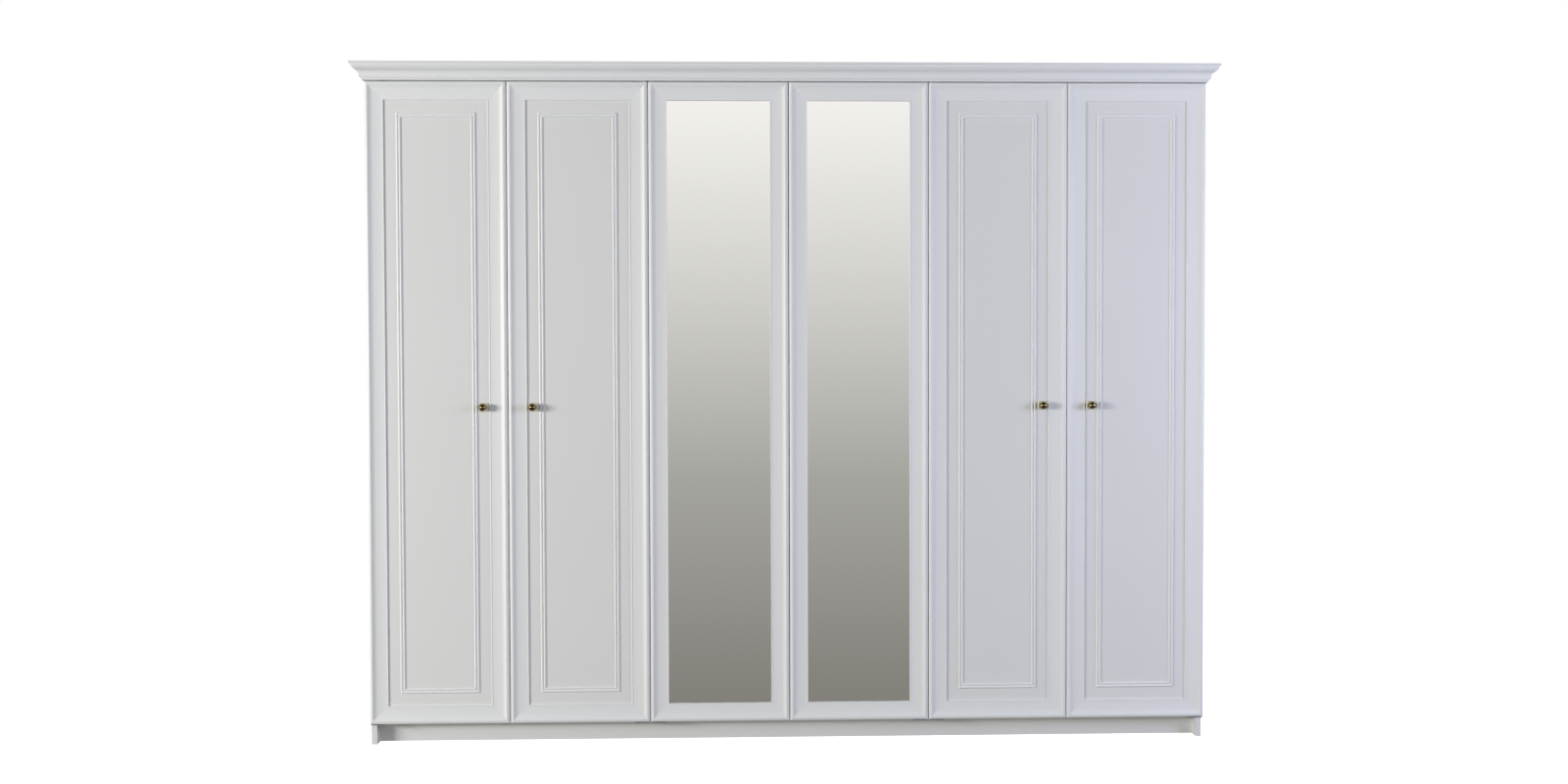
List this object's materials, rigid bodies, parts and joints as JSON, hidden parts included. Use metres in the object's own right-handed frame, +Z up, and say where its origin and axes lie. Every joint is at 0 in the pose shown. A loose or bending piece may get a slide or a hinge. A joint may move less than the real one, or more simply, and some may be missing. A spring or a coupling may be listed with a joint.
{
  "type": "armoire",
  "caption": "Tall white wardrobe with hinged panelled and mirrored doors, ball knobs, a moulded cornice, a recessed plinth, shelves and hanging rails.",
  "frame": {"origin": "on the floor, at the middle of the overall width and depth", "axes": "+Z up, +X to the right seen from the front, +Y from the front to the back; the doors face -Y"},
  "size_m": [2.774, 0.637, 2.184],
  "materials": {
    "white_board": "satin melamine on chipboard",
    "white_moulding": "satin white foil on fibreboard",
    "back_board": "plain hardboard",
    "mirror_glass": "silvered float glass",
    "antique_brass": "polished antique brass",
    "pale_brass": "satin pale brass",
    "zinc_steel": "bright zinc plate",
    "chrome_rail": "polished chrome plate",
    "grey_plastic": "moulded grey nylon"
  },
  "bodies": {
    "carcass": {"left_cabinet_left_side": "white_board", "left_cabinet_right_side": "white_board", "left_cabinet_top": "white_board", "left_cabinet_bottom": "white_board", "left_cabinet_back": "back_board", "middle_cabinet_left_side": "white_board", "middle_cabinet_right_side": "white_board", "middle_cabinet_top": "white_board", "middle_cabinet_bottom": "white_board", "middle_cabinet_back": "back_board", "right_cabinet_left_side": "white_board", "right_cabinet_right_side": "white_board", "right_cabinet_top": "white_board", "right_cabinet_bottom": "white_board", "right_cabinet_back": "back_board", "plinth_board": "white_board", "cornice_front": "white_moulding", "cornice_left_return": "white_moulding", "cornice_right_return": "white_moulding", "hat_shelves": "white_board", "middle_shelves": "white_board", "shelf_pins": "zinc_steel", "clothes_rails": "chrome_rail", "rail_sockets": "chrome_rail", "cabinet_bolts": "zinc_steel", "pivot_plates": "zinc_steel", "catch_bodies": "grey_plastic", "wall_brackets": "zinc_steel"},
    "door_1": {"door_1_frame": "white_moulding", "door_1_panel": "white_moulding", "door_1_bead": "white_moulding", "door_1_knob": "antique_brass", "door_1_knob_plate": "pale_brass", "door_1_strike": "zinc_steel"},
    "door_2": {"door_2_frame": "white_moulding", "door_2_panel": "white_moulding", "door_2_bead": "white_moulding", "door_2_knob": "antique_brass", "door_2_knob_plate": "pale_brass", "door_2_strike": "zinc_steel"},
    "door_3": {"door_3_frame": "white_moulding", "door_3_mirror": "mirror_glass", "door_3_mirror_backing": "back_board"},
    "door_4": {"door_4_frame": "white_moulding", "door_4_mirror": "mirror_glass", "door_4_mirror_backing": "back_board"},
    "door_5": {"door_5_frame": "white_moulding", "door_5_panel": "white_moulding", "door_5_bead": "white_moulding", "door_5_knob": "antique_brass", "door_5_knob_plate": "pale_brass", "door_5_strike": "zinc_steel"},
    "door_6": {"door_6_frame": "white_moulding", "door_6_panel": "white_moulding", "door_6_bead": "white_moulding", "door_6_knob": "antique_brass", "door_6_knob_plate": "pale_brass", "door_6_strike": "zinc_steel"},
    "door_3_latch": {"door_3_latch_plunger": "grey_plastic"},
    "door_4_latch": {"door_4_latch_plunger": "grey_plastic"}
  },
  "joints": [
    {"name": "door_1_hinge", "type": "hinge", "parent": "carcass", "child": "door_1", "pos_m": [-1.3415, -0.2745, 1.099], "axis": [0, 0, -1], "range_deg": [0, 110]},
    {"name": "door_2_hinge", "type": "hinge", "parent": "carcass", "child": "door_2", "pos_m": [-0.4585, -0.2745, 1.099], "axis": [0, 0, 1], "range_deg": [0, 86]},
    {"name": "door_3_hinge", "type": "hinge", "parent": "carcass", "child": "door_3", "pos_m": [-0.4415, -0.2745, 1.099], "axis": [0, 0, -1], "range_deg": [0, 86]},
    {"name": "door_4_hinge", "type": "hinge", "parent": "carcass", "child": "door_4", "pos_m": [0.4415, -0.2745, 1.099], "axis": [0, 0, 1], "range_deg": [0, 86]},
    {"name": "door_5_hinge", "type": "hinge", "parent": "carcass", "child": "door_5", "pos_m": [0.4585, -0.2745, 1.099], "axis": [0, 0, -1], "range_deg": [0, 86]},
    {"name": "door_6_hinge", "type": "hinge", "parent": "carcass", "child": "door_6", "pos_m": [1.3415, -0.2745, 1.099], "axis": [0, 0, 1], "range_deg": [0, 110]},
    {"name": "door_3_latch_slide", "type": "slide", "parent": "carcass", "child": "door_3_latch", "axis": [0, 1, 0], "range_m": [0, 0.003], "stiffness_N_per_m": 400, "springref_m": -0.004},
    {"name": "door_4_latch_slide", "type": "slide", "parent": "carcass", "child": "door_4_latch", "axis": [0, 1, 0], "range_m": [0, 0.003], "stiffness_N_per_m": 400, "springref_m": -0.004}
  ]
}
